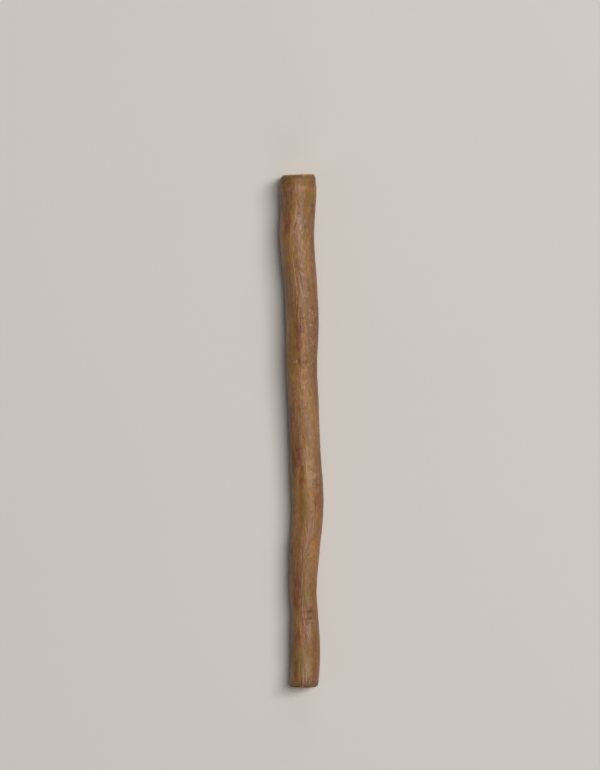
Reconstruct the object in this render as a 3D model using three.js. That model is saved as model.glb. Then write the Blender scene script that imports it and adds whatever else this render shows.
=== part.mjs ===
// A miswak: a length of root from the toothbrush tree, sawn off at both ends, lying on its side as one solid.
// Millimetres. +Y runs along the stick to its thick end, +Z is up, and the origin is under its middle.
// An angle round the stick is in degrees from the top, turning towards +X.
// A share along the stick runs from 0 at its thin end to 1 at its thick end.
import * as THREE from "three";

// Driving dimensions
const LENGTH = 150;
const THIN_RADIUS = 4.35;
const THICK_RADIUS = 5.6;
const WANDER = 2; // the furthest that the heart of the stick strays sideways
const ARCH = 0.8; // the furthest that its underside stands off the surface

// How finely the skin is cut into faces
const SIDES = 44;
const ROW_STEP = 2.5;
const FINE_ROW_STEP = 0.6;
const FINE_REACH = 2.9; // how far the fine rows go on each side of a fold or a scar
const CAP_RING = 0.55; // where each cut end has an inner ring of faces, as a share of its radius

// The stick from its thin end to its thick end: how far it strays to +X as a share of WANDER, how far its
// underside stands off as a share of ARCH, and its radius as a share of an even taper. It lies on the three
// places where stand is below zero, pressed slightly flat there.
const STATIONS = [
  { at: 0.0, stray: 0.3, stand: 0.15, girth: 1.005 },
  { at: 0.045, stray: 0.58, stand: -0.13, girth: 0.983 },
  { at: 0.09, stray: 0.58, stand: 0.15, girth: 0.957 },
  { at: 0.14, stray: 0.5, stand: 0.75, girth: 0.855 },
  { at: 0.19, stray: 0.27, stand: 0.9, girth: 0.855 },
  { at: 0.27, stray: 0.62, stand: 0.45, girth: 0.896 },
  { at: 0.345, stray: 1.0, stand: 0.0, girth: 0.933 },
  { at: 0.4, stray: 0.84, stand: -0.17, girth: 0.948 },
  { at: 0.47, stray: 0.58, stand: 0.2, girth: 0.9 },
  { at: 0.55, stray: 0.32, stand: 0.7, girth: 0.898 },
  { at: 0.63, stray: 0.03, stand: 1.0, girth: 0.9 },
  { at: 0.7, stray: 0.13, stand: 0.95, girth: 0.928 },
  { at: 0.78, stray: -0.03, stand: 0.65, girth: 0.912 },
  { at: 0.88, stray: -0.66, stand: 0.2, girth: 0.948 },
  { at: 0.935, stray: -0.48, stand: -0.13, girth: 0.952 },
  { at: 0.97, stray: -0.5, stand: -0.13, girth: 1.005 },
  { at: 1.0, stray: -0.58, stand: 0.1, girth: 1.0 },
];

// The section isn't a true circle: it is a little oval, three-sided and fluted, as shares of the radius, and
// each of these turns slowly along the stick
const OVAL = { lobes: 2, depth: 0.022, turn: 150, start: 35 };
const THREE_SIDED = { lobes: 3, depth: 0.012, turn: -110, start: 80 };
const FLUTED = { lobes: 7, depth: 0.005, turn: 60, start: 10 };

// Long shallow hollows that follow the grain: each drifts round the stick along its length, and weaves
const HOLLOWS = [
  { from: 0.29, to: 0.52, angle: -36, drift: 14, depth: 0.24, width: 1.3 },
  { from: 0.02, to: 0.15, angle: 8, drift: -10, depth: 0.18, width: 1.1 },
  { from: 0.72, to: 0.97, angle: -14, drift: 20, depth: 0.2, width: 1.2 },
  { from: 0.52, to: 0.74, angle: 58, drift: -12, depth: 0.22, width: 1.2 },
  { from: 0.1, to: 0.4, angle: 118, drift: 18, depth: 0.24, width: 1.4 },
  { from: 0.55, to: 0.9, angle: 128, drift: -16, depth: 0.22, width: 1.3 },
  { from: 0.15, to: 0.38, angle: 222, drift: -14, depth: 0.24, width: 1.3 },
  { from: 0.46, to: 0.78, angle: 262, drift: 22, depth: 0.26, width: 1.5 },
];
const WEAVE = { swing: 4, waves: 1.43 }; // degrees either way, and how often over a hollow's length

// Where a rootlet left the root: a low swelling, with cross folds, with the pit of a scar, or with both
const KNOTS = [
  { at: 0.136, angle: 24, swell: 0.16, reach: 3.6, folds: 0.2, scar: 0 },
  { at: 0.391, angle: 36, swell: 0.22, reach: 3.4, folds: 0.1, scar: 0 },
  { at: 0.636, angle: 6, swell: 0.12, reach: 3.8, folds: 0.12, scar: 0 },
  { at: 0.712, angle: 34, swell: 0.24, reach: 4.2, folds: 0, scar: 0 },
  { at: 0.82, angle: 232, swell: 0.5, reach: 3.4, folds: 0, scar: 1.5 },
  { at: 0.262, angle: 292, swell: 0.42, reach: 3, folds: 0, scar: 1.25 },
  { at: 0.555, angle: 158, swell: 0.34, reach: 3.2, folds: 0.12, scar: 0 },
];
const FOLDS = { pitch: 2.3, slant: 0.12, run: 2.2, spread: 0.62 }; // spread is a share of the knot's reach
const SCAR = { depth: 0.55, width: 0.75 }; // as shares of the scar's radius

// The cut ends: how much a knife has taken off the edge, most of it on one side, and how far each saw cut is
// out of square
const THICK_EDGE = { long: 2.5, deep: 0.75, uneven: 0.35, side: 280 };
const THIN_EDGE = { long: 0.7, deep: 0.3, uneven: 0.2, side: 60 };
const THICK_CUT = { aside: 0.035, up: -0.03 };
const THIN_CUT = { aside: -0.012, up: -0.04 };
const CUT_REACH = 8; // how far into the stick the rows lean with the cut

const radians = THREE.MathUtils.degToRad;

// The shorter way round from one angle to another, in radians
const turnBetween = (a, b) => Math.atan2(Math.sin(a - b), Math.cos(a - b));

const bell = (distance, width) => Math.exp(-((distance / width) ** 2));

// A smooth curve through one column of STATIONS, by cubic Hermite pieces
function stationValue(column, at) {
  const last = STATIONS.length - 1;
  const slope = (i) => {
    const before = STATIONS[Math.max(i - 1, 0)];
    const after = STATIONS[Math.min(i + 1, last)];
    return (after[column] - before[column]) / (after.at - before.at);
  };
  const next = STATIONS.findIndex((station) => station.at >= at);
  const i = Math.max(next, 1) - 1;
  const [here, there] = [STATIONS[i], STATIONS[i + 1]];
  const span = there.at - here.at;
  const t = (at - here.at) / span;
  return (
    here[column] * (1 + 2 * t) * (1 - t) ** 2 +
    there[column] * t ** 2 * (3 - 2 * t) +
    span * slope(i) * t * (1 - t) ** 2 +
    span * slope(i + 1) * t ** 2 * (t - 1)
  );
}

const evenTaper = (at) => THREE.MathUtils.lerp(THIN_RADIUS, THICK_RADIUS, at) * stationValue("girth", at);

const lobed = ({ lobes, depth, turn, start }, angle, at) =>
  depth * Math.cos(lobes * (angle - radians(start + turn * at)));

function hollowDepth(hollow, angle, at, radius) {
  const { from, to, depth, width } = hollow;
  if (at <= from || at >= to) return 0;
  const t = (at - from) / (to - from);
  const weave = WEAVE.swing * Math.sin(2 * Math.PI * WEAVE.waves * t);
  const middle = radians(hollow.angle + hollow.drift * t + weave);
  return depth * Math.sin(Math.PI * t) * bell(turnBetween(angle, middle) * radius, width);
}

function knotHeight(knot, angle, at, radius) {
  const along = (at - knot.at) * LENGTH;
  const round = turnBetween(angle, radians(knot.angle)) * radius;
  const away = Math.hypot(along, round);
  const fold = Math.cos((2 * Math.PI * (along - FOLDS.slant * round)) / FOLDS.pitch);
  const folds = knot.folds * fold * bell(along, FOLDS.run) * bell(round, knot.reach * FOLDS.spread);
  const pit = knot.scar ? knot.scar * SCAR.depth * bell(away, knot.scar * SCAR.width) : 0;
  return knot.swell * bell(away, knot.reach) + folds - pit;
}

// How much the knife took off the edge at a distance in from the end: a quarter of an ellipse
function edgeLoss({ long, deep, uneven, side }, angle, inwards) {
  if (inwards >= long) return 0;
  const share = 1 - Math.sqrt(1 - (1 - inwards / long) ** 2);
  return deep * share * (1 + uneven * Math.cos(angle - radians(side)));
}

function radiusAt(angle, at) {
  const taper = evenTaper(at);
  const shape = lobed(OVAL, angle, at) + lobed(THREE_SIDED, angle, at) + lobed(FLUTED, angle, at);
  let radius = taper * (1 + shape);
  for (const hollow of HOLLOWS) radius -= hollowDepth(hollow, angle, at, taper);
  for (const knot of KNOTS) radius += knotHeight(knot, angle, at, taper);
  radius -= edgeLoss(THIN_EDGE, angle, at * LENGTH);
  radius -= edgeLoss(THICK_EDGE, angle, (1 - at) * LENGTH);
  return radius;
}

// The height of the stick's heart, which keeps its underside where STATIONS says
const heartHeight = (at) => evenTaper(at) + ARCH * stationValue("stand", at);

// How far a row leans along Y for each millimetre aside and up, so that the last row lies in the saw cut
function lean(at) {
  const thin = Math.max(0, 1 - (at * LENGTH) / CUT_REACH);
  const thick = Math.max(0, 1 - ((1 - at) * LENGTH) / CUT_REACH);
  return {
    aside: THIN_CUT.aside * thin + THICK_CUT.aside * thick,
    up: THIN_CUT.up * thin + THICK_CUT.up * thick,
  };
}

// Shares along the stick for the rows of faces: close together over cross folds, scars and cut edges
function rowShares() {
  const isFine = (y) =>
    y < THIN_EDGE.long ||
    y > LENGTH - THICK_EDGE.long - FINE_ROW_STEP ||
    KNOTS.some((knot) => (knot.folds || knot.scar) && Math.abs(y - knot.at * LENGTH) < FINE_REACH);
  const shares = [];
  for (let y = 0; y < LENGTH - FINE_ROW_STEP / 2; ) {
    shares.push(y / LENGTH);
    y += isFine(y) || isFine(y + FINE_ROW_STEP) ? FINE_ROW_STEP : ROW_STEP;
  }
  return [...shares, 1];
}

// A straight rod of radius 1 with closed ends, turned on a lathe; its height is the share along the stick
function plainRod() {
  const profile = [new THREE.Vector2(0, 0), new THREE.Vector2(CAP_RING, 0)];
  for (const share of rowShares()) profile.push(new THREE.Vector2(1, share));
  profile.push(new THREE.Vector2(CAP_RING, 1), new THREE.Vector2(0, 1));
  return new THREE.LatheGeometry(profile, SIDES);
}

function stickGeometry() {
  const geometry = plainRod();
  const position = geometry.getAttribute("position");
  for (let i = 0; i < position.count; i++) {
    const at = position.getY(i);
    const angle = Math.atan2(position.getX(i), position.getZ(i));
    const radius = Math.hypot(position.getX(i), position.getZ(i)) * radiusAt(angle, at);
    const aside = radius * Math.sin(angle);
    const up = radius * Math.cos(angle);
    const cut = lean(at);
    position.setXYZ(
      i,
      WANDER * stationValue("stray", at) + aside,
      (at - 0.5) * LENGTH + cut.aside * aside + cut.up * up,
      Math.max(0, heartHeight(at) + up),
    );
  }
  geometry.computeBoundingBox();
  const middle = geometry.boundingBox.getCenter(new THREE.Vector3());
  geometry.translate(-middle.x, -middle.y, 0);
  geometry.computeVertexNormals();
  return geometry;
}

const bark = new THREE.MeshStandardMaterial({ color: 0x8f6540, roughness: 0.55, metalness: 0 });

const stick = new THREE.Mesh(stickGeometry(), bark);
stick.name = "stick";

const miswak = new THREE.Group();
miswak.add(stick);

export default miswak;
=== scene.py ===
"""A miswak, which is a length of root from the toothbrush tree, lying on a pale surface.

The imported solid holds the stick's form. A fine skin is laid over that solid here, Geometry Nodes give it the
relief of bark and of sawn wood, and a second tree sets short torn fibres round the two cuts.

Lengths in tables and in node trees are millimetres, and positions in meshes are metres. An angle round the
stick is in degrees from the top, turning towards +X. A share along it runs from its thin end to its thick
end.
"""

import math
from types import SimpleNamespace

import bmesh
import bpy
import numpy as np
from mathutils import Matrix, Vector
from mathutils.bvhtree import BVHTree


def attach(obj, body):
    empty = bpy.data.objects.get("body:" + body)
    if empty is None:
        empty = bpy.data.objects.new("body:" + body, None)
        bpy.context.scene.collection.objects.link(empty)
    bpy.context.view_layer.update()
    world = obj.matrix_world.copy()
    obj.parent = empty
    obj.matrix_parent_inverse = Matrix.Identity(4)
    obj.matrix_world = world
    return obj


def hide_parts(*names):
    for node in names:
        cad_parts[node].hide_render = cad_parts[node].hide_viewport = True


MM = 0.001

# The photograph is taken from straight above, with the thick end at the top of the frame
CAMERA_AWAY = 1.0  # from the height at which the stick is widest
WIDEST_HEIGHT = 0.0056
CAMERA_OVER = (-0.00038, 0.01339)  # what lies at the middle of the frame
FRAME_SEEN = 0.2258  # how much the frame's long side takes in at the stick's height
SENSOR = 36.0

# The line through the stick's middle
HEART_STEP = 1.0  # between its points
HEART_SMOOTHING = 11  # points of it that are averaged, an odd number

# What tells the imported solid's sawn faces and edges from its bark
SHARP_EDGE = 35.0  # the angle between two faces past which their edge stays sharp
CUT_FACING = 0.98  # how squarely a sawn face looks along the stick

# The skin's faces
SIDES = 208  # points round the stick in each row
ROW_STEP = 0.5  # between rows
FINE_STEP = 0.17  # between rows near the cuts, and at scars and ridges
EDGE_REACH = 2.6  # how far from a cut its rows are FINE_STEP apart
SCAR_REACH = 0.9  # how far from the middle of a scar or ridge they are
FINE_FADE = 1.5  # the stretch over which they open out again
RIM_INSET = 0.01  # between each cut and the first row of bark
CUT_RINGS = 24  # rings of points in each cut, between its rim and its middle
RING_CROWDING = 0.85  # below 1, the rings in a cut are closer together towards its rim
LEAN_REACH = 8.0  # how far from a slanting cut its rows still slant with it
ROD_RADIUS = 4.8  # of the straight even rod on which the bark's patterns are drawn
SEED_STEP = 41.0  # how far one seed's pattern lies from the next one's

# The map on which the finishes are baked, from 0 to 1 each way
BARK_SHARE = 0.74  # of its width, with both cuts beside it
THIN_CUT_HEIGHT = 0.25
THICK_CUT_HEIGHT = 0.75
CUT_FILL = 0.97  # how much of its place the wider cut fills

# Patches in the bark, of each kind: a share along and an angle round the stick, with the patch's half
# length, half width and strength. Raised and sunken ones together make the scar of a side root. Worn ones are
# where the cork is rubbed smooth, and rough ones where it is flecked and pitted. Dark ones are painted shade:
# they darken the bark's colour along both flanks and underneath.
PATCHES = {
    "rust": [
        (0.978, 49, 1.0, 1.7, 0.9),
        (0.905, -33, 4.0, 1.2, 1.0),
        (0.897, -4, 1.8, 1.0, 0.9),
        (0.869, 31, 1.0, 0.9, 0.6),
        (0.738, 43, 1.6, 1.1, 0.8),
        (0.698, -8, 2.1, 1.7, 1.0),
        (0.670, -10, 2.4, 0.9, 0.9),
        (0.634, -9, 1.6, 0.5, 0.7),
        (0.449, -34, 3.4, 1.6, 0.85),
        (0.436, -52, 4.0, 1.3, 1.0),
        (0.426, -13, 2.8, 1.4, 0.6),
        (0.404, -24, 2.4, 1.6, 0.8),
        (0.396, 35, 1.3, 1.4, 0.9),
        (0.362, 39, 3.9, 1.3, 0.6),
        (0.365, -29, 3.4, 1.2, 0.5),
        (0.201, -22, 5.6, 1.4, 1.0),
        (0.170, -36, 3.4, 1.8, 1.0),
        (0.177, 48, 1.6, 1.9, 0.5),
        (0.144, 30, 2.1, 2.0, 0.8),
        (0.096, -23, 2.4, 1.4, 0.7),
        (0.076, 45, 4.4, 1.8, 0.5),
        (0.031, -37, 3.7, 1.4, 0.8),
        (0.022, 53, 1.3, 1.4, 0.5),
    ],
    "rose": [
        (0.972, -12, 1.6, 1.3, 0.6),
        (0.957, -58, 2.6, 1.0, 0.8),
        (0.940, 18, 6.0, 0.5, 0.7),
        (0.912, 47, 2.6, 1.2, 0.7),
        (0.885, -2, 2.1, 0.9, 0.7),
        (0.725, -19, 1.5, 0.9, 0.6),
        (0.674, 37, 7.0, 1.9, 0.8),
        (0.665, 2, 1.6, 0.8, 0.5),
        (0.451, -15, 3.1, 1.0, 0.8),
        (0.429, 22, 1.3, 0.9, 0.7),
        (0.134, -2, 5.8, 0.8, 0.8),
        (0.022, 53, 1.3, 1.4, 1.0),
        (0.935, 70, 6.0, 1.6, 0.6),
        (0.806, 66, 12.0, 1.8, 0.7),
        (0.622, 68, 14.0, 1.9, 0.8),
        (0.431, 64, 10.0, 1.8, 0.7),
        (0.304, 66, 8.0, 1.6, 0.6),
        (0.163, 68, 9.0, 1.8, 0.6),
        (0.044, 66, 5.0, 1.6, 0.6),
    ],
    "olive": [
        (0.959, 46, 2.3, 2.2, 0.8),
        (0.943, -20, 2.6, 1.6, 0.3),
        (0.843, -17, 1.6, 1.0, 0.6),
        (0.652, -48, 5.6, 1.8, 1.0),
        (0.631, 31, 3.1, 1.2, 0.8),
        (0.618, 11, 0.8, 3.0, 0.5),
        (0.456, 25, 2.6, 1.7, 0.8),
        (0.359, -4, 4.2, 1.2, 1.0),
        (0.184, 23, 3.1, 2.0, 0.8),
        (0.041, -4, 3.9, 2.6, 1.0),
        (0.985, -34, 1.2, 2.2, 0.8),
        (0.376, -24, 2.4, 1.4, 0.7),
    ],
    "worn": [
        (0.040, -38, 8.0, 2.6, 1.0),
        (0.372, -27, 7.0, 2.4, 0.9),
        (0.672, -27, 8.0, 2.2, 0.8),
        (0.905, -62, 9.0, 1.6, 0.6),
        (0.085, 30, 5.0, 2.0, 0.6),
    ],
    "rough": [
        (0.712, 34, 4.6, 3.0, 1.0),
        (0.636, 4, 1.2, 4.0, 0.8),
        (0.660, 40, 7.0, 2.2, 0.9),
        (0.614, 30, 3.0, 2.4, 0.6),
        (0.396, 36, 2.0, 1.9, 1.0),
        (0.144, 28, 2.4, 2.2, 0.7),
    ],
    # Painted shade: these darken the bark's colour along both flanks and underneath
    "dark": [
        (0.64, -70, 9.0, 2.2, 0.4),
        (0.43, -66, 17.0, 2.4, 1.0),
        (0.20, -72, 13.0, 2.4, 0.7),
        (0.06, -66, 10.0, 2.2, 0.9),
        (0.50, 150, 24.0, 3.4, 0.7),
        (0.90, 64, 13.0, 2.4, 0.8),
        (0.66, 62, 21.0, 2.6, 0.9),
        (0.38, 62, 15.0, 2.6, 0.9),
        (0.12, 64, 14.0, 2.4, 0.8),
    ],
    "raised": [
        (0.144, 4, 2.0, 0.35, 0.5),
        (0.1425, 31, 0.35, 0.6, 1.0),
        (0.1275, 17, 0.3, 0.9, 0.9),
        (0.1290, 35, 0.3, 0.7, 0.9),
        (0.1225, 23, 0.35, 0.35, 0.5),
        (0.398, 42, 0.35, 1.2, 0.6),
        (0.635, -22, 0.5, 0.45, 0.7),
        (0.633, -4, 0.5, 0.4, 0.6),
        (0.632, 30, 1.1, 0.4, 0.8),
        (0.713, 6, 0.5, 0.5, 0.5),
        (0.745, 96, 1.5, 1.2, 1.0),
        (0.317, -108, 1.3, 1.1, 1.0),
        (0.548, 171, 1.5, 1.2, 0.9),
    ],
    "sunken": [
        (0.140, 25, 2.0, 1.5, 0.35),
        (0.1480, 29, 0.5, 0.6, 0.7),
        (0.1325, 24, 0.5, 0.8, 0.8),
        (0.404, 38, 0.4, 0.9, 0.4),
        (0.635, -13, 0.6, 0.4, 0.45),
        (0.630, 14, 0.7, 0.5, 0.35),
        (0.719, -2, 0.4, 0.9, 0.3),
        (0.745, 96, 0.6, 0.5, 1.0),
        (0.317, -108, 0.5, 0.5, 1.0),
        (0.548, 171, 0.6, 0.5, 0.9),
    ],
}

# What the knife has done near each cut, and how far the bark is darker towards it, as distances from it
THICK_TRIM = 3.1  # trimmed bark
THIN_TRIM = 0.5
THICK_DARK = 0.9  # bark made darker towards the cut
THIN_DARK = 2.4
CHIPPED = 0.5  # chipped rim

# Cracks in the sawn wood: the end (0 thin, 1 thick), the angle round it, where each starts and ends in
# millimetres from the heart, and its width
CRACKS = [
    (0, 35, 0.3, 2.9, 0.07),
    (0, 160, 0.6, 2.4, 0.05),
    (0, 262, 0.2, 3.1, 0.06),
    (1, 15, 0.4, 2.6, 0.05),
    (1, 118, 0.3, 3.6, 0.09),
    (1, 205, 0.9, 3.0, 0.05),
    (1, 300, 0.3, 3.3, 0.07),
]

# The bark's relief. These are the inputs of the tree that shapes it, and its material reads them too, so that
# colour and relief fall together.
BARK = {
    "flute_depth": 0.11,
    "furrow_depth": 0.09,
    "furrow_spacing": 1.7,
    "furrow_stretch": 14.0,
    "wrinkle_depth": 0.05,
    "wrinkle_spacing": 0.95,
    "crease_depth": 0.05,
    "crease_spacing": 1.3,
    "dot_height": 0.1,
    "dot_spacing": 2.6,
    "fibre_depth": 0.02,
    "cork_thickness": 0.055,
    "cork_spacing": 4.0,
    "trim_depth": 0.09,
    "stroke_depth": 0.2,
    "stroke_spacing": 2.3,
    "chip_depth": 0.2,
    "raised_height": 0.22,
    "sunken_depth": 0.4,
    "seed": 7.0,
}

# The relief of the sawn faces, in the same way
CUT = {
    "pore_spacing": 0.23,
    "scratch_spacing": 0.3,
    "scratch_depth": 0.025,
    "tuft_spacing": 0.6,
    "tuft_height": 0.05,
    "crack_depth": 0.15,
    "bark_sunk": 0.05,
}
BARK_INSIDE = 0.8  # the share of the way out from the heart at which the bark begins
FIBRE_LEAN = 1.25  # the most that a torn fibre leans each way, in radians


def colour(code):
    """The linear colour of an sRGB code such as "9a6b43"."""
    parts = [int(code[i : i + 2], 16) / 255 for i in (0, 2, 4)]
    linear = [c / 12.92 if c <= 0.04045 else ((c + 0.055) / 1.055) ** 2.4 for c in parts]
    return (*linear, 1.0)


class Wiring:
    """Adds nodes to a tree. Each value given to a node is a plain value or another node's output."""

    def __init__(self, tree):
        self.tree = tree

    def give(self, socket, value):
        if isinstance(value, bpy.types.NodeSocket):
            self.tree.links.new(value, socket)
        elif value is not None:
            socket.default_value = value

    def node(self, kind, *values, **settings):
        """A new node with its enabled inputs given in order."""
        node = self.tree.nodes.new(kind)
        for name, value in settings.items():
            setattr(node, name, value)
        for socket, value in zip([s for s in node.inputs if s.enabled], values):
            self.give(socket, value)
        return node

    def add(self, kind, *values, **settings):
        """The first enabled output of a new node."""
        return next(s for s in self.node(kind, *values, **settings).outputs if s.enabled)

    def read(self, name):
        """A value that the mesh carries at each of its points."""
        return self.node("ShaderNodeAttribute", attribute_name=name).outputs["Fac"]

    def read_vector(self, name):
        return self.node("ShaderNodeAttribute", attribute_name=name).outputs["Vector"]

    def math(self, operation, *values):
        return self.add("ShaderNodeMath", *values, operation=operation)

    def total(self, *values):
        made = values[0]
        for value in values[1:]:
            made = self.math("ADD", made, value)
        return made

    def product(self, *values):
        made = values[0]
        for value in values[1:]:
            made = self.math("MULTIPLY", made, value)
        return made

    def minus(self, a, b):
        return self.math("SUBTRACT", a, b)

    def step(self, value, low, high):
        """0 up to low and 1 from high, smooth between."""
        kind = {"interpolation_type": "SMOOTHSTEP", "clamp": True}
        return self.add("ShaderNodeMapRange", value, low, high, 0.0, 1.0, **kind)

    def spread(self, value, low, high):
        """0 to 1 as low to high."""
        return self.add("ShaderNodeMapRange", value, 0.0, 1.0, low, high, clamp=True)

    def inverse(self, value):
        return self.math("SUBTRACT", 1.0, value)

    def over(self, value, size):
        return self.math("DIVIDE", value, size)

    def per_mm(self, spacing):
        """The scale of a noise or of cells that are about that far apart."""
        return self.over(1.0, spacing)

    def parts(self, place):
        """The X, Y and Z of a vector."""
        return self.node("ShaderNodeSeparateXYZ", place).outputs

    def vector(self, x, y, z):
        return self.add("ShaderNodeCombineXYZ", x, y, z)

    def scaled(self, place, x, y, z):
        return self.add("ShaderNodeVectorMath", place, self.vector(x, y, z), operation="MULTIPLY")

    def below(self, value, limit, softness):
        """1 under the limit and 0 over it, soft between."""
        return self.inverse(self.step(value, limit - softness, limit + softness))

    def centred(self, noise, strength):
        """Noise about 0, its reach set by strength."""
        return self.product(self.minus(noise, 0.5), strength)

    def moved(self, place, offset):
        return self.add("ShaderNodeVectorMath", place, offset, operation="ADD")

    def seeded(self, place, seed):
        """The same pattern's place far away, so that another seed gives another pattern."""
        return self.moved(place, self.vector(self.product(seed, SEED_STEP), 0.0, 0.0))

    def noise(self, place, scale, detail=2.0, rough=0.5, seed=0.0):
        """Smooth noise about 0.5."""
        return self.add("ShaderNodeTexNoise", self.seeded(place, seed), scale, detail, rough, normalize=True)

    def noise_vector(self, place, scale, detail, seed, reach):
        """A vector that wanders by up to about reach each way."""
        node = self.node("ShaderNodeTexNoise", self.seeded(place, seed), scale, detail, 0.5, normalize=True)
        centred = self.moved(node.outputs["Color"], (-0.5, -0.5, -0.5))
        return self.scaled(centred, 2 * reach, 2 * reach, 2 * reach)

    def cells(self, place, per_mm, seed):
        """Voronoi cells: how far their middles are, and a random colour for each."""
        return self.node("ShaderNodeTexVoronoi", self.seeded(place, seed), per_mm, 0.0).outputs

    def line(self, noise, width):
        """1 along the thin lines where a noise crosses its middle, falling to 0 at width from it."""
        away = self.math("ABSOLUTE", self.minus(noise, 0.5))
        return self.minus(1.0, self.step(away, 0.0, width))

    def mix(self, share, a, b):
        """Colour a turning to colour b."""
        return self.add("ShaderNodeMix", share, a, b, data_type="RGBA", blend_type="MIX")

    def toned(self, tint, tone):
        """A colour made lighter or darker."""
        return self.add("ShaderNodeMix", 1.0, tint, tone, data_type="RGBA", blend_type="MULTIPLY")


class MeshWiring(Wiring):
    """Wiring for a Geometry Nodes tree, with its named inputs."""

    def __init__(self, name, **inputs):
        super().__init__(bpy.data.node_groups.new(name, "GeometryNodeTree"))
        sockets = {"Geometry": self.socket("Geometry", "NodeSocketGeometry")}
        for label, value in inputs.items():
            kind = "NodeSocketInt" if isinstance(value, int) else "NodeSocketFloat"
            sockets[label] = self.socket(label.replace("_", " ").capitalize(), kind)
            sockets[label].default_value = value
        self.tree.interface.new_socket("Geometry", in_out="OUTPUT", socket_type="NodeSocketGeometry")
        start = self.tree.nodes.new("NodeGroupInput")
        self.given = dict(zip(sockets, start.outputs))
        self.inputs = inputs
        self.identifiers = {label: socket.identifier for label, socket in sockets.items()}

    def socket(self, name, kind):
        return self.tree.interface.new_socket(name, in_out="INPUT", socket_type=kind)

    def read(self, name):
        return self.add("GeometryNodeInputNamedAttribute", name, data_type="FLOAT")

    def read_vector(self, name):
        return self.add("GeometryNodeInputNamedAttribute", name, data_type="FLOAT_VECTOR")

    def finish(self, geometry, *finishes):
        """Ends the tree: instances made real, no point under the floor, and a material for each selection."""
        geometry = self.add("GeometryNodeRealizeInstances", geometry)
        place = self.parts(self.node("GeometryNodeInputPosition").outputs[0])
        above = self.vector(place["X"], place["Y"], self.math("MAXIMUM", place["Z"], 0.0))
        geometry = self.add("GeometryNodeSetPosition", geometry, None, above)
        for selection, material in finishes:
            geometry = self.add("GeometryNodeSetMaterial", geometry, selection, material)
        end = self.tree.nodes.new("NodeGroupOutput")
        self.give(end.inputs[0], geometry)

    def applied_to(self, piece):
        """Replaces the piece's mesh with what the tree makes of it."""
        modifier = piece.modifiers.new(self.tree.name, "NODES")
        modifier.node_group = self.tree
        for label, value in self.inputs.items():
            modifier[self.identifiers[label]] = value
        evaluated = piece.evaluated_get(bpy.context.evaluated_depsgraph_get())
        made = bpy.data.meshes.new_from_object(evaluated)
        piece.modifiers.remove(modifier)
        made.name = piece.name
        piece.data = made
        return piece


def put_camera():
    camera = bpy.data.cameras.new("camera")
    camera.sensor_width = SENSOR
    camera.lens = SENSOR * CAMERA_AWAY / FRAME_SEEN
    camera.clip_end = 20
    holder = bpy.data.objects.new("camera", camera)
    holder.location = (*CAMERA_OVER, WIDEST_HEIGHT + CAMERA_AWAY)
    bpy.context.collection.objects.link(holder)
    bpy.context.scene.camera = holder


def put_light(name, place, size, watts, tint):
    """A soft rectangle of light that faces the stick, its size given across and along the stick."""
    light = bpy.data.lights.new(name, "AREA")
    light.shape = "RECTANGLE"
    light.size, light.size_y = size
    light.energy = watts
    light.color = colour(tint)[:3]
    holder = bpy.data.objects.new(name, light)
    holder.location = place
    holder.rotation_euler = (-Vector(place)).to_track_quat("-Z", "Y").to_euler()
    bpy.context.collection.objects.link(holder)


def put_studio():
    """A pale floor in soft studio light."""
    put_light("key", (0.84, 0.44, 2.0), (0.68, 1.8), 38.0, "fffaf4")
    put_light("fill", (-1.8, -0.3, 1.0), (1.6, 2.0), 1.8, "eef4ff")
    put_light("thin_side", (0.5, -2.0, 1.0), (1.8, 1.4), 8.0, "fff6ea")
    put_light("thick_side", (0.4, 2.1, 1.0), (1.8, 1.4), 8.0, "fff6ea")
    world = bpy.data.worlds.new("studio")
    world.use_nodes = True
    world.node_tree.nodes["Background"].inputs["Color"].default_value = colour("f1f2f4")
    world.node_tree.nodes["Background"].inputs["Strength"].default_value = 0.065
    bpy.context.scene.world = world
    bpy.context.scene.view_settings.view_transform = "Standard"
    mesh = bpy.data.meshes.new("floor")
    reach = 4.0
    corners = [(-reach, -reach, 0), (reach, -reach, 0), (reach, reach, 0), (-reach, reach, 0)]
    mesh.from_pydata(corners, [], [(0, 1, 2, 3)])
    floor = bpy.data.objects.new("floor", mesh)
    bpy.context.collection.objects.link(floor)
    mesh.materials.append(floor_paper())


def new_material(name):
    """A material with an empty Principled shader, and the wiring of its tree."""
    material = bpy.data.materials.new(name)
    material.use_nodes = True
    wiring = Wiring(material.node_tree)
    return material, wiring, material.node_tree.nodes["Principled BSDF"].inputs


def floor_paper():
    material, w, shader = new_material("floor_paper")
    place = w.node("ShaderNodeTexCoord").outputs["Object"]
    w.give(shader["Base Color"], w.mix(w.noise(place, 6.0, 3.0), colour("dad9d6"), colour("dedddb")))
    shader["Roughness"].default_value = 0.7
    return material


def smooth_solid(node):
    """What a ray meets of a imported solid, once its facets are rounded off and its sawn edges kept."""
    work = bmesh.new()
    work.from_mesh(node.data)
    bmesh.ops.remove_doubles(work, verts=work.verts, dist=0.001 * MM)
    crease = work.edges.layers.float.new("crease_edge")
    for edge in work.edges:
        if edge.is_manifold and edge.calc_face_angle() > math.radians(SHARP_EDGE):
            edge[crease] = 1.0
    mesh = bpy.data.meshes.new("rounded")
    work.to_mesh(mesh)
    work.free()
    rounded = bpy.data.objects.new("rounded", mesh)
    bpy.context.collection.objects.link(rounded)
    subdivision = rounded.modifiers.new("rounded", "SUBSURF")
    subdivision.levels = subdivision.render_levels = 2
    tree = BVHTree.FromObject(rounded, bpy.context.evaluated_depsgraph_get())
    bpy.data.objects.remove(rounded)
    return tree


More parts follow.
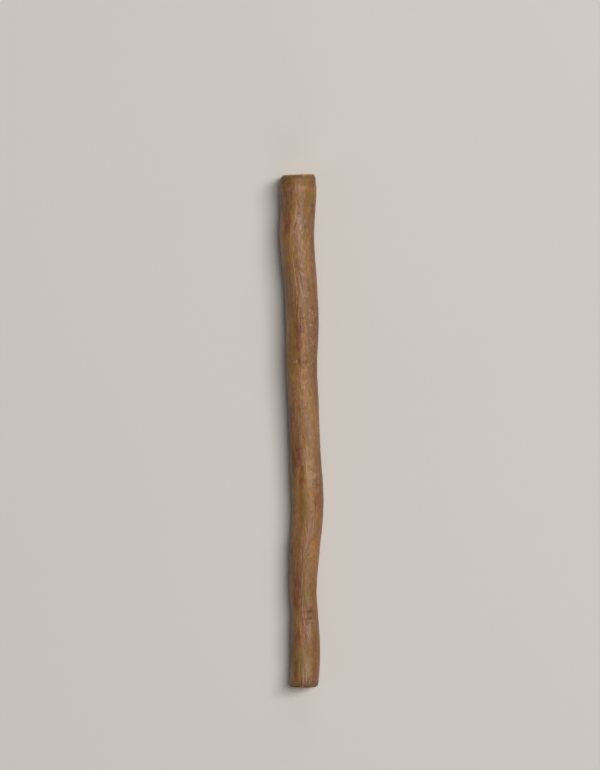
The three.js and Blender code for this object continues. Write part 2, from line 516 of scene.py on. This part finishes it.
def cut_planes(node):
    """A point on each sawn face of the solid and the way it faces, the thin end's first."""
    planes = []
    for way in (-1, 1):
        end = max(way * vertex.co.y for vertex in node.data.vertices)
        squarely = [face for face in node.data.polygons if way * face.normal.y > CUT_FACING]
        faces = [face for face in squarely if way * face.center.y > end - MM]
        area = sum(face.area for face in faces)
        point = sum((face.center * face.area for face in faces), Vector()) / area
        planes.append((point, sum((face.normal * face.area for face in faces), Vector()).normalized()))
    return planes


def heart_line(solid, planes):
    """The middle of the stick, in even steps along it, found by looking out from inside the solid."""
    (thin, _), (thick, _) = planes
    step = HEART_STEP * MM
    points = []
    here = thin.copy()
    for y in np.arange(thin.y + step, thick.y - step, step):
        here.y = y
        for way in (Vector((1, 0, 0)), Vector((0, 0, 1))):
            ahead, behind = solid.ray_cast(here, way)[0], solid.ray_cast(here, -way)[0]
            here += way * ((ahead + behind) / 2 - here).dot(way)
        points.append(here.copy())
    points = np.array([thin, *points, thick])

    reach = HEART_SMOOTHING // 2
    kernel = np.hanning(HEART_SMOOTHING)
    kernel /= kernel.sum()
    from_end = np.minimum(np.arange(len(points)), np.arange(len(points))[::-1])
    fade = np.minimum(1, from_end / reach)
    for column in (0, 2):
        smoothed = np.convolve(np.pad(points[:, column], reach, "edge"), kernel, "valid")
        points[:, column] += fade * (smoothed - points[:, column])
    return points


def row_places(length):
    """Distances from the thin cut for the rows of faces, closer together near both cuts, scars and ridges."""
    inset = RIM_INSET * MM
    samples = 9001
    along = np.linspace(inset, length - inset, samples)
    away = np.minimum(along, length - along) / MM - EDGE_REACH
    for at, *_ in PATCHES["raised"] + PATCHES["sunken"]:
        away = np.minimum(away, abs(along - at * length) / MM - SCAR_REACH)
    step = np.interp(away, (0, FINE_FADE), (FINE_STEP, ROW_STEP)) * MM
    rows = np.cumsum((along[1] - along[0]) / step)
    return np.interp(np.linspace(rows[0], rows[-1], round(rows[-1])), rows, along)


def skin_rows(solid, planes, heart):
    """The skin's points, one row of SIDES for each place along the stick, with the middle of each row."""
    (thin, thin_way), (thick, thick_way) = planes
    length = thick.y - thin.y
    places = row_places(length)
    angles = math.pi - np.arange(SIDES) * 2 * math.pi / SIDES
    rows, middles = [], []
    for place in places:
        y = thin.y + place
        x, z = (np.interp(y, heart[:, 1], heart[:, column]) for column in (0, 2))
        middle = Vector((x, y, z))
        near_thin = max(0, 1 - place / (LEAN_REACH * MM))
        near_thick = max(0, 1 - (length - place) / (LEAN_REACH * MM))
        across = Vector((0, 1, 0)).lerp(-thin_way, near_thin).lerp(thick_way, near_thick)
        row = []
        for angle in angles:
            way = Vector((math.sin(angle), 0, math.cos(angle)))
            way.y = -way.dot(across) / across.y
            row.append(solid.ray_cast(middle, way.normalized())[0] or row[-1])
        rows.append(row)
        middles.append(middle)
    return np.array(rows), np.array(middles), angles, places


def patch_mask(patches, share, angle, length):
    """How strongly patches of one kind show at each point of the bark."""
    mask = np.zeros_like(share)
    for at, middle, half_length, half_width, strength in patches:
        along = (share - at) * length / MM / half_length
        turn = np.arctan2(np.sin(angle - math.radians(middle)), np.cos(angle - math.radians(middle)))
        across = turn * ROD_RADIUS / half_width
        mask = np.maximum(mask, strength * np.exp(-(along**2 + across**2)))
    return mask


def skin_mesh(rows, middles, angles, places):
    """One closed mesh: rows of bark, and rings that fill each cut. It carries what its materials read."""
    count, length = len(rows), places[-1] + places[0]
    share = np.repeat(places / length, SIDES)
    angle = np.tile(angles, count)
    points = [rows.reshape(-1, 3)]
    rod = [np.stack([np.sin(angle) * ROD_RADIUS, share * length / MM, np.cos(angle) * ROD_RADIUS], 1)]
    radial = [np.ones(count * SIDES)]
    inward = np.linspace(1, 0, CUT_RINGS + 2)[1:-1] ** RING_CROWDING
    for rim, middle, rod_end in ((rows[0], middles[0], 0.0), (rows[-1], middles[-1], length / MM)):
        rings = (middle + inward[:, None, None] * (rim - middle)).reshape(-1, 3)
        points += [rings, middle[None]]
        rod.append((np.vstack([rings, middle]) - middle) / MM + (0, rod_end, 0))
        radial.append(np.append(np.repeat(inward, SIDES), 0))
    points, rod, radial = (np.concatenate(parts) for parts in (points, rod, radial))

    bark = np.arange(count * SIDES).reshape(count, SIDES)
    rings = np.arange(CUT_RINGS * SIDES).reshape(CUT_RINGS, SIDES)
    thin_heart, thick_heart = bark.size + rings.size, len(points) - 1
    thin = np.vstack([bark[:1], bark.size + rings])
    thick = np.vstack([bark[-1:], thin_heart + 1 + rings])
    bark_quads = ring_quads(bark)
    sawn = [
        (ring_quads(thin)[:, ::-1], thin_heart, THIN_CUT_HEIGHT),
        (ring_quads(thick), thick_heart, THICK_CUT_HEIGHT),
        (ring_fan(thin[-1], thin_heart), thin_heart, THIN_CUT_HEIGHT),
        (ring_fan(thick[-1], thick_heart)[:, ::-1], thick_heart, THICK_CUT_HEIGHT),
    ]
    faces = bark_quads.tolist()
    for sawn_faces, *_ in sawn:
        faces += sawn_faces.tolist()
    mesh = bpy.data.meshes.new("miswak")
    mesh.from_pydata(points.tolist(), [], faces)
    sawn_count = len(faces) - len(bark_quads)
    mesh.polygons.foreach_set("material_index", [0] * len(bark_quads) + [1] * sawn_count)
    lay_bake_map(mesh, points[:, (0, 2)], places / length, sawn)

    keep(mesh, "rod", rod)
    keep(mesh, "radial", radial)
    keep(mesh, "to_thick", length / MM - rod[:, 1])
    for kind, patches in PATCHES.items():
        mask = patch_mask(patches, rod[:, 1] * MM / length, np.arctan2(rod[:, 0], rod[:, 2]), length)
        keep(mesh, kind, mask)
    return mesh


def lay_bake_map(mesh, flat, shares, sawn):
    """The map on which the finishes are baked: the bark unrolled in a strip, and both cuts beside it."""
    turn = np.arange(SIDES)
    across = 1 - np.stack([turn, turn, turn + 1, turn + 1], 1).ravel() / SIDES
    across = np.tile(across * BARK_SHARE, len(shares) - 1)
    along = np.stack([shares[:-1], shares[1:], shares[1:], shares[:-1]], 1)
    laid = [np.stack([across, np.repeat(along, SIDES, axis=0).ravel()], 1)]
    place = (1 - BARK_SHARE) / 2
    widest = max(np.linalg.norm(flat[faces.ravel()] - flat[heart], axis=1).max() for faces, heart, _ in sawn)
    for faces, heart, height in sawn:
        disc = (flat[faces.ravel()] - flat[heart]) * CUT_FILL * place / widest
        laid.append(disc + (BARK_SHARE + place, height))
    layer = mesh.uv_layers.new(name="OFBake")
    layer.data.foreach_set("uv", np.concatenate(laid).ravel())


def ring_quads(rings):
    """The faces between neighbouring rings of points."""
    after = np.roll(rings, -1, axis=1)
    return np.stack([rings[:-1], rings[1:], after[1:], after[:-1]], -1).reshape(-1, 4)


def ring_fan(ring, heart):
    """The triangles that close a ring round one point."""
    return np.stack([ring, np.roll(ring, -1), np.full(len(ring), heart)], 1)


def keep(mesh, name, values):
    """Stores a value or a vector at each point of the mesh."""
    kind, key = ("FLOAT_VECTOR", "vector") if values.ndim == 2 else ("FLOAT", "value")
    mesh.attributes.new(name, kind, "POINT").data.foreach_set(key, values.astype(np.float32).ravel())


def bark_patterns(w, sizes):
    """The patterns of the bark, from 0 to about 1, but for those said here.

    Flute, fibre and pull are about 0, and edge is how far the nearer cut is. Rod, grain and long are places:
    on the even rod, on it with a grain that wanders, and on that with the grain drawn out along the stick.
    """
    rod, rough = w.read_vector("rod"), w.read("rough")
    seed = sizes["seed"]
    grain = w.moved(rod, w.noise_vector(rod, 0.09, 2.0, seed, 1.1))
    long = w.scaled(grain, 1.0, w.over(1.0, sizes["furrow_stretch"]), 1.0)

    def part_of(noise, low, high):
        return w.step(w.noise(*noise), low, high)

    # Broad flutes, and the lines of bark that has dried
    flute = w.minus(w.noise(long, 0.3, 1.0, 0.5, seed), 0.5)
    dry = part_of((w.scaled(rod, 1, 0.35, 1), 0.16, 2.0, 0.5, seed), 0.46, 0.64)
    dry = w.math("MINIMUM", 1.0, w.total(w.spread(dry, 0.15, 1.0), w.product(rough, 0.3)))
    smooth = w.math("MAXIMUM", w.read("worn"), w.read("olive"))
    dry = w.product(dry, w.spread(smooth, 1.0, 0.25))
    furrow = w.product(w.line(w.noise(long, w.per_mm(sizes["furrow_spacing"]), 2.0, 0.45, seed), 0.07), dry)
    across = w.noise(w.scaled(grain, 0.24, 1.0, 0.24), w.per_mm(sizes["crease_spacing"]), 2.0, 0.5, seed)
    crossed = w.product(part_of((rod, 0.2, 2.0, 0.5, 21.0), 0.56, 0.7), 0.6)
    crease = w.product(w.line(across, 0.07), w.math("MAXIMUM", crossed, rough))
    wrinkled = w.noise(w.scaled(grain, 1, 0.1, 1), w.per_mm(sizes["wrinkle_spacing"]), 2.0, 0.5, 13.0)
    wrinkle = w.product(w.line(wrinkled, 0.11), w.spread(dry, 0.3, 1.0))
    fibre = w.minus(w.noise(w.scaled(grain, 1, 0.1, 1), 2.6, 3.0, 0.6, seed), 0.5)

    # Corky dots
    cells = w.cells(w.scaled(rod, 0.62, 1.0, 0.62), w.per_mm(sizes["dot_spacing"]), seed)
    chosen = w.parts(cells["Color"])
    inside = w.over(cells["Distance"], w.spread(chosen["Y"], 0.1, 0.21))
    shown = w.math("GREATER_THAN", w.total(chosen["X"], w.product(rough, 0.5)), 0.78)
    dot = w.product(w.minus(1.0, w.step(inside, 0.35, 1.0)), shown)

    # What the knife has done near the cuts, and the bark made darker towards them
    ragged = w.noise(rod, 0.6, 4.0, 0.62, 3.0)
    from_thick = w.total(w.read("to_thick"), w.centred(ragged, 4.2))
    from_thin = w.total(w.parts(rod)["Y"], w.centred(ragged, 2.4))
    bare = w.math("MAXIMUM", w.below(from_thick, THICK_TRIM, 0.6), w.below(from_thin, THIN_TRIM, 0.2))
    near_cut_darkening = w.math("MAXIMUM", w.below(from_thick, THICK_DARK, 0.8), w.below(from_thin, THIN_DARK, 1.1))
    edge = w.math("MINIMUM", w.read("to_thick"), w.parts(rod)["Y"])
    chip = w.product(w.below(edge, CHIPPED, CHIPPED), part_of((rod, 0.55, 4.0, 0.6, 19.0), 0.5, 0.66))
    hollow = w.cells(w.scaled(rod, 1, 0.7, 1), w.per_mm(sizes["stroke_spacing"]), 4.0)["Distance"]
    stroke = w.product(hollow, hollow, bare, w.total(1.0, w.below(edge, 1.2, 1.0)))

    # Scars, broken up by noise
    broken = w.spread(part_of((rod, 1.1, 3.0, 0.6, 23.0), 0.36, 0.58), 0.35, 1.0)
    raised = w.product(w.read("raised"), broken)
    broken = w.spread(part_of((rod, 1.3, 3.0, 0.6, 27.0), 0.36, 0.58), 0.5, 1.0)
    sunken = w.product(w.read("sunken"), broken)

    # Flakes of cork, more of them where pull is above 0
    flakes = w.noise(w.scaled(grain, 1, 0.4, 1), w.per_mm(sizes["cork_spacing"]), 4.0, 0.6, seed)
    pull = w.total(
        w.product(w.read("rose"), 0.3),
        w.product(w.read("rust"), -0.35),
        w.product(w.read("olive"), -0.35),
        w.product(w.read("worn"), -0.4),
        w.product(bare, -0.5),
    )
    fleck = w.noise(w.scaled(grain, 1, 0.36, 1), 1.7, 4.0, 0.66, 5.0)
    cork = w.step(w.total(flakes, w.centred(fleck, 0.75), pull), 0.44, 0.56)
    return SimpleNamespace(
        rod=rod, rough=rough, grain=grain, long=long, flute=flute, furrow=furrow, crease=crease,
        wrinkle=wrinkle, fibre=fibre, dot=dot, bare=bare, near_cut_darkening=near_cut_darkening, edge=edge, chip=chip,
        stroke=stroke, raised=raised, sunken=sunken, pull=pull, cork=cork, fleck=fleck,
    )


def cut_patterns(w, sizes):
    """The patterns of the sawn faces, from 0 to 1, where flat is the place that they are drawn on."""
    place = w.parts(w.read_vector("rod"))
    flat = w.vector(place["X"], w.product(place["Y"], 0.03), place["Z"])
    from_heart = w.vector(place["X"], 0.0, place["Z"])
    way = w.add("ShaderNodeVectorMath", from_heart, operation="NORMALIZE")
    out = w.read("radial")
    broad, fine = w.noise(flat, 0.35, 2.0, 0.5, 1.0), w.noise(flat, 1.6, 3.0, 0.6, 2.0)
    wobble = w.total(w.centred(broad, 0.16), w.centred(fine, 0.07))
    radial = w.total(out, w.product(wobble, w.below(out, 0.93, 0.05)))

    def spokes(count, seed):
        """Noise that runs out from the heart."""
        spread = w.moved(w.scaled(way, count, 0.0, count), w.vector(0.0, w.product(radial, 1.6), 0.0))
        return w.noise(w.moved(spread, flat), 1.0, 3.0, 0.6, seed)

    ray = spokes(15.0, 3.0)
    ring = w.noise(w.vector(w.product(radial, 9.0), place["Y"], 0.0), 1.0, 3.0, 0.6, 3.0)
    blot = w.noise(flat, 0.4, 3.0, 0.6, 2.0)
    cells = w.cells(flat, w.per_mm(sizes["pore_spacing"]), 1.0)
    pick = w.total(w.parts(cells["Color"])["X"], w.centred(ring, 1.8), w.centred(ray, 0.8))
    size = w.spread(w.parts(cells["Color"])["Y"], 0.1, 0.2)
    pore = w.product(w.below(w.minus(cells["Distance"], size), 0.0, 0.06), w.step(pick, 0.4, 0.6))

    # Cracks, each with a jog in it
    crack = 0.0
    jog = w.centred(w.noise(flat, 0.9, 3.0, 0.6, 9.0), 1.1)
    at_thick = w.step(place["Y"], 50.0, 60.0)
    for end, angle, start, stop, width in CRACKS:
        x, z = math.sin(math.radians(angle)), math.cos(math.radians(angle))
        along = w.total(w.product(place["X"], x), w.product(place["Z"], z))
        across = w.total(w.product(place["X"], z), w.product(place["Z"], -x), jog)
        open_here = w.product(w.step(along, start, start + 0.4), w.inverse(w.step(along, start, stop)))
        gap = w.minus(w.product(open_here, width), w.math("ABSOLUTE", across))
        here = at_thick if end else w.inverse(at_thick)
        crack = w.math("MAXIMUM", crack, w.product(w.step(gap, 0.0, 0.04), here))

    # Saw marks, tufts of torn wood, and the line where bark and wood meet
    bent = w.moved(flat, w.noise_vector(flat, 0.25, 1.0, 5.0, 0.6))
    stroke = w.add("ShaderNodeVectorRotate", bent, (0.0, 0.0, 0.0), (0.0, 1.0, 0.0), math.radians(35))
    scratch = w.noise(w.scaled(stroke, 1.0, 1.0, 0.09), w.per_mm(sizes["scratch_spacing"]), 3.0, 0.65, 7.0)
    tuft = w.noise(flat, w.per_mm(sizes["tuft_spacing"]), 4.0, 0.6, 8.0)
    in_bark = w.step(radial, BARK_INSIDE - 0.008, BARK_INSIDE + 0.008)
    join = w.below(w.math("ABSOLUTE", w.minus(radial, BARK_INSIDE)), 0.008, 0.008)
    return SimpleNamespace(
        flat=flat, radial=radial, ray=ray, ring=ring, blot=blot, pore=pore, crack=crack, scratch=scratch,
        tuft=tuft, in_bark=in_bark, join=join, at_thick=at_thick,
    )


def bark_relief(bark, sawn_wood):
    """Geometry Nodes: the bark's furrows, creases, dots, flakes and scars, and the sawn faces' grain."""
    w = MeshWiring("Bark relief", **BARK, **CUT)
    given = w.given
    on = bark_patterns(w, given)
    kept = w.inverse(on.bare)
    raised = w.total(
        w.product(on.flute, given["flute_depth"], 2.0),
        w.product(on.furrow, given["furrow_depth"], -1.0, kept),
        w.product(on.crease, given["crease_depth"], -1.0, kept),
        w.product(on.wrinkle, given["wrinkle_depth"], -1.0, kept),
        w.product(on.dot, given["dot_height"], kept),
        w.product(on.fibre, given["fibre_depth"], 2.0),
        w.product(on.cork, given["cork_thickness"]),
        w.product(on.bare, given["trim_depth"], -1.0),
        w.product(on.stroke, given["stroke_depth"], -1.0),
        w.product(on.chip, given["chip_depth"], -1.0),
        w.product(on.raised, given["raised_height"]),
        w.product(on.sunken, given["sunken_depth"], -1.0),
    )
    radial = w.read("radial")
    on_bark = w.step(radial, 0.995, 1.0)
    cut = cut_patterns(w, given)
    sawn = w.total(
        w.product(w.centred(cut.scratch, 2.0), given["scratch_depth"]),
        w.product(w.centred(cut.tuft, 2.0), given["tuft_height"]),
        w.product(cut.crack, given["crack_depth"], -1.0),
        w.product(cut.join, given["crack_depth"], -0.5),
        w.product(cut.in_bark, given["bark_sunk"], -1.0),
    )
    sawn = w.product(sawn, w.inverse(w.step(radial, 0.94, 0.99)))
    height = w.product(w.total(w.product(raised, on_bark), w.product(sawn, w.inverse(on_bark))), MM)
    normal = w.node("GeometryNodeInputNormal").outputs[0]
    offset = w.add("ShaderNodeVectorMath", normal, operation="SCALE")
    w.give(offset.node.inputs["Scale"], height)
    geometry = w.add("GeometryNodeSetPosition", given["Geometry"], None, None, offset)
    slot = w.node("GeometryNodeInputMaterialIndex").outputs[0]
    is_cut = w.add("FunctionNodeCompare", slot, 1, data_type="INT", operation="EQUAL")
    is_bark = w.add("FunctionNodeCompare", slot, 0, data_type="INT", operation="EQUAL")
    w.finish(geometry, (is_bark, bark), (is_cut, sawn_wood))
    return w


def bark_finish():
    """Mauve-brown cork, worn through in streaks to golden and rusty bark, and trimmed golden by a knife, with
    painted shade in its hollows and along its flanks.
    """
    material, w, shader = new_material("bark")
    on = bark_patterns(w, BARK)
    streak = w.noise(on.long, 0.6, 3.0, 0.55, 1.0)
    broad = w.noise(w.scaled(on.rod, 1, 0.35, 1), 0.17, 3.0, 0.5, 2.0)
    cloud = w.noise(w.scaled(on.rod, 1, 0.5, 1), 0.42, 3.0, 0.6, 8.0)
    mottle = w.noise(w.scaled(on.rod, 1, 0.6, 1), 1.2, 5.0, 0.65, 4.0)
    fine = w.noise(w.scaled(on.grain, 1, 0.06, 1), 6.0, 3.0, 0.65, 6.0)
    # Fine wrinkles, used in the bump and as painted shade in the colour
    wrinkle = w.line(w.noise(w.scaled(on.grain, 1, 0.11, 1), 1.9, 2.0, 0.5, 13.0), 0.05)
    wrinkle = w.product(wrinkle, w.step(cloud, 0.38, 0.62))
    # The edges of cork flakes, where painted shade darkens the colour
    flake_edge = w.product(on.cork, w.inverse(on.cork), 4.0)
    grit = w.noise(w.scaled(on.rod, 1, 0.6, 1), 7.0, 3.0, 0.75, 17.0)
    grains = w.minus(w.step(grit, 0.58, 0.68), w.inverse(w.step(grit, 0.33, 0.43)))

    golden = w.mix(w.step(broad, 0.35, 0.65), colour("8f6335"), colour("b07e44"))
    uneven = w.total(w.centred(streak, 0.9), w.centred(on.fleck, -1.6))
    rusty = w.step(w.total(w.read("rust"), uneven), 0.2, 0.75)
    golden = w.mix(w.product(rusty, 0.9), golden, colour("8a5230"))
    uneven = w.total(w.centred(w.noise(on.long, 0.3, 3.0, 0.5, 9.0), 1.2), w.centred(mottle, 1.2))
    olive = w.step(w.total(w.read("olive"), uneven), 0.15, 0.65)
    golden = w.mix(w.product(olive, 0.75), golden, colour("906c33"))
    corky = w.mix(w.step(streak, 0.3, 0.7), colour("8a6245"), colour("a87b57"))
    corky = w.mix(w.product(w.read("rose"), 0.6), corky, colour("9b654e"))
    wide = w.noise(w.scaled(on.rod, 1, 0.4, 1), 0.22, 2.0, 0.5, 31.0)
    mauve = w.step(w.total(wide, on.pull), 0.38, 0.6)
    made = w.mix(w.total(w.product(on.cork, 0.42), w.product(mauve, 0.34)), golden, corky)
    made = w.mix(w.product(on.bare, 0.92), made, colour("8a5d28"))
    # The bark is darker towards each cut
    made = w.mix(w.product(on.near_cut_darkening, 0.45), made, colour("5a4024"))

    speck = w.product(w.step(mottle, 0.56, 0.64), w.spread(on.rough, 0.12, 0.8))
    made = w.mix(speck, made, colour("c19c78"))
    dark = w.step(w.noise(on.rod, 1.7, 4.0, 0.6, 15.0), 0.6, 0.7)
    made = w.mix(w.product(dark, w.spread(on.rough, 0.2, 0.7)), made, colour("54371f"))
    # Raised scars and ridges paler and sunken ones darker: partly the scars' own colour, partly painted
    # highlight on the ridges and painted shade in the hollows
    made = w.mix(w.product(on.raised, 0.6), made, colour("bf9468"))
    made = w.mix(w.product(on.sunken, 0.75), made, colour("533621"))
    made = w.mix(w.product(on.dot, 0.5), made, colour("b08a60"))
    made = w.mix(w.product(on.chip, 0.6), made, colour("c39a5f"))
    # A pale line along each cut's rim: partly rubbed bark, partly a painted highlight where the rim catches
    # light
    rim_rub_and_highlight = w.product(w.below(on.edge, 0.3, 0.25), w.step(mottle, 0.42, 0.6))
    made = w.mix(w.product(rim_rub_and_highlight, 0.5), made, colour("bb8f55"))
    tone = w.total(
        0.945,
        w.centred(cloud, 0.5),
        w.centred(fine, 0.32),
        w.product(on.fibre, 0.15),
        w.centred(mottle, 0.75),
        w.centred(grit, 0.4),
        w.product(grains, 0.12),
        # Painted shade: the colour is darker in wrinkles, at the edges of cork flakes, in furrows and in
        # creases
        w.product(wrinkle, -0.17),
        w.product(flake_edge, -0.06),
        w.product(on.furrow, -0.12),
        w.product(on.wrinkle, -0.08),
        w.product(on.crease, -0.15),
        # painted shade along both flanks and underneath, from the dark patches
        w.product(w.read("dark"), -0.24),
    )
    w.give(shader["Base Color"], w.toned(made, tone))
    dull = w.total(
        0.3,
        w.product(mottle, 0.16),
        w.product(on.cork, 0.06),
        w.product(on.furrow, 0.15),
        w.product(on.rough, 0.1),
        w.product(on.bare, 0.15),
    )
    w.give(shader["Roughness"], dull)
    shader["Specular IOR Level"].default_value = 0.6
    height = w.total(
        w.product(fine, 0.8),
        w.product(mottle, w.spread(on.rough, 0.8, 1.8)),
        w.product(grit, 0.7),
        w.product(wrinkle, -0.6),
        w.product(on.cork, 0.7),
    )
    w.give(shader["Normal"], w.add("ShaderNodeBump", 0.8, 0.06 * MM, None, height))
    return material


def sawn_finish():
    """Pale wood with fine rays and pores, in a ring of golden inner bark, with brown skin at the thin end."""
    material, w, shader = new_material("sawn_wood")
    on = cut_patterns(w, CUT)
    grit = w.noise(on.flat, 5.0, 3.0, 0.7, 5.0)
    wood = w.mix(w.step(on.blot, 0.35, 0.65), colour("deb888"), colour("f0d7b0"))
    ringed = w.step(w.total(on.ring, w.centred(on.blot, 0.5)), 0.48, 0.62)
    wood = w.mix(w.product(ringed, 0.35), wood, colour("b98f58"))
    pith = w.below(w.total(on.radial, w.centred(on.tuft, 0.1)), 0.05, 0.03)
    wood = w.mix(w.product(pith, 0.8), wood, colour("8a5f36"))
    wood = w.mix(w.product(w.below(on.radial, 0.2, 0.2), 0.35), wood, colour("b78c52"))
    wood = w.mix(w.product(on.pore, 0.7), wood, colour("7b552f"))
    bark = w.mix(w.step(on.ray, 0.38, 0.62), colour("9a6e40"), colour("b98c56"))
    made = w.mix(on.in_bark, wood, bark)
    made = w.mix(w.product(on.join, 0.55), made, colour("7c5429"))
    skin = w.step(w.total(on.radial, w.centred(on.tuft, 0.06)), 0.935, 0.965)
    skin = w.product(skin, w.spread(on.at_thick, 0.75, 0.12))
    made = w.mix(skin, made, colour("6c4827"))
    made = w.mix(w.product(on.crack, 0.85), made, colour("4a3019"))
    tone = w.total(
        1.0,
        w.centred(on.ray, 0.5),
        w.centred(on.scratch, 0.5),
        w.centred(grit, 0.6),
        w.centred(on.tuft, 0.3),
    )
    w.give(shader["Base Color"], w.toned(made, tone))
    shader["Roughness"].default_value = 0.75
    shader["Specular IOR Level"].default_value = 0.3
    height = w.total(
        w.product(on.ray, 0.5),
        w.product(on.pore, -0.9),
        w.product(on.scratch, 0.9),
        w.product(grit, 0.8),
        w.product(on.crack, -1.0),
    )
    w.give(shader["Normal"], w.add("ShaderNodeBump", 0.8, 0.09 * MM, None, height))
    return material


def fibre_finish():
    """Torn fibres, pale as the wood or golden as the inner bark."""
    material, w, shader = new_material("torn_fibre")
    place = w.node("ShaderNodeTexCoord").outputs["Object"]
    w.give(shader["Base Color"], w.mix(w.noise(place, 900.0), colour("b98a4e"), colour("e0c795")))
    shader["Roughness"].default_value = 0.75
    return material


def torn_fibres(fibre):
    """Geometry Nodes: short tapered fibres that the saw tore up, most of them round the rim of each cut."""
    w = MeshWiring("Torn fibres", rim_fibres_per_mm2=6.0, face_fibres_per_mm2=0.6, length=0.22,
                   thickness=0.04, seed=11)
    given = w.given
    radial = w.read("radial")
    near_rim = w.step(radial, 0.72, 0.94)
    on_cut = w.add("FunctionNodeCompare", radial, 0.99, data_type="FLOAT", operation="LESS_THAN")
    density = w.total(w.product(near_rim, given["rim_fibres_per_mm2"]), given["face_fibres_per_mm2"])
    density = w.product(density, 1 / MM**2)
    scatter = w.node("GeometryNodeDistributePointsOnFaces", given["Geometry"], on_cut, density, given["seed"])

    # One fibre a millimetre long, which bends over and narrows to its tip
    line = w.add("GeometryNodeMeshLine", 5, (0, 0, 0), (0, 0, 0.25 * MM))
    curve = w.add("GeometryNodeMeshToCurve", line)
    bend = w.add("GeometryNodeSplineParameter")
    side = w.add("ShaderNodeCombineXYZ", w.product(bend, bend, 0.35 * MM), 0.0, 0.0)
    curve = w.add("GeometryNodeSetPosition", curve, None, None, side)
    section = w.add("GeometryNodeCurvePrimitiveCircle", 4, 0.5 * MM)
    taper = w.spread(w.math("POWER", bend, 2.0), 1.0, 0.2)
    tube = w.add("GeometryNodeCurveToMesh", curve, section, w.product(taper, given["thickness"]), True)

    # A copy at each point, each with its own lean and length
    lowest, highest = (-FIBRE_LEAN, -FIBRE_LEAN, 0.0), (FIBRE_LEAN, FIBRE_LEAN, math.tau)
    tilt = w.add("FunctionNodeRandomValue", lowest, highest, None, given["seed"], data_type="FLOAT_VECTOR")
    tilt = w.add("FunctionNodeEulerToRotation", tilt)
    turn = w.add("FunctionNodeRotateRotation", scatter.outputs["Rotation"], tilt, rotation_space="LOCAL")
    spin = w.add("FunctionNodeRandomValue", 0.0, 1.0, None, given["seed"], data_type="FLOAT")
    long = w.product(w.spread(w.math("POWER", spin, 3.0), 0.5, 2.2), given["length"])
    size = w.add("ShaderNodeCombineXYZ", 1.0, 1.0, long)
    points = scatter.outputs["Points"]
    made = w.add("GeometryNodeInstanceOnPoints", points, None, tube, None, None, turn, size)
    w.finish(made, (True, fibre))
    return w


def put_piece(name, mesh):
    piece = bpy.data.objects.new(name, mesh)
    bpy.context.collection.objects.link(piece)
    return piece


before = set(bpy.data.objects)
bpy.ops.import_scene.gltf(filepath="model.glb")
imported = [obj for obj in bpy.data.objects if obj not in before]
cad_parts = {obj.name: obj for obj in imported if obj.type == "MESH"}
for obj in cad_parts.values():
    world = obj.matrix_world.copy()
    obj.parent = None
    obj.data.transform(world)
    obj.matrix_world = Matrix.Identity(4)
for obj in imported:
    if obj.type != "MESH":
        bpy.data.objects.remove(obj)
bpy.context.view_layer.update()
put_camera()
put_studio()

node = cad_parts["stick"]
planes = cut_planes(node)
solid = smooth_solid(node)
skin = skin_mesh(*skin_rows(solid, planes, heart_line(solid, planes)))
bark, sawn_wood = bark_finish(), sawn_finish()
skin.materials.append(bark)
skin.materials.append(sawn_wood)
skin.shade_smooth()
miswak = bark_relief(bark, sawn_wood).applied_to(put_piece("miswak", skin))
fibres = torn_fibres(fibre_finish()).applied_to(put_piece("torn_fibres", miswak.data.copy()))

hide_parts("stick")
for piece in (miswak, fibres):
    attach(piece, "root")
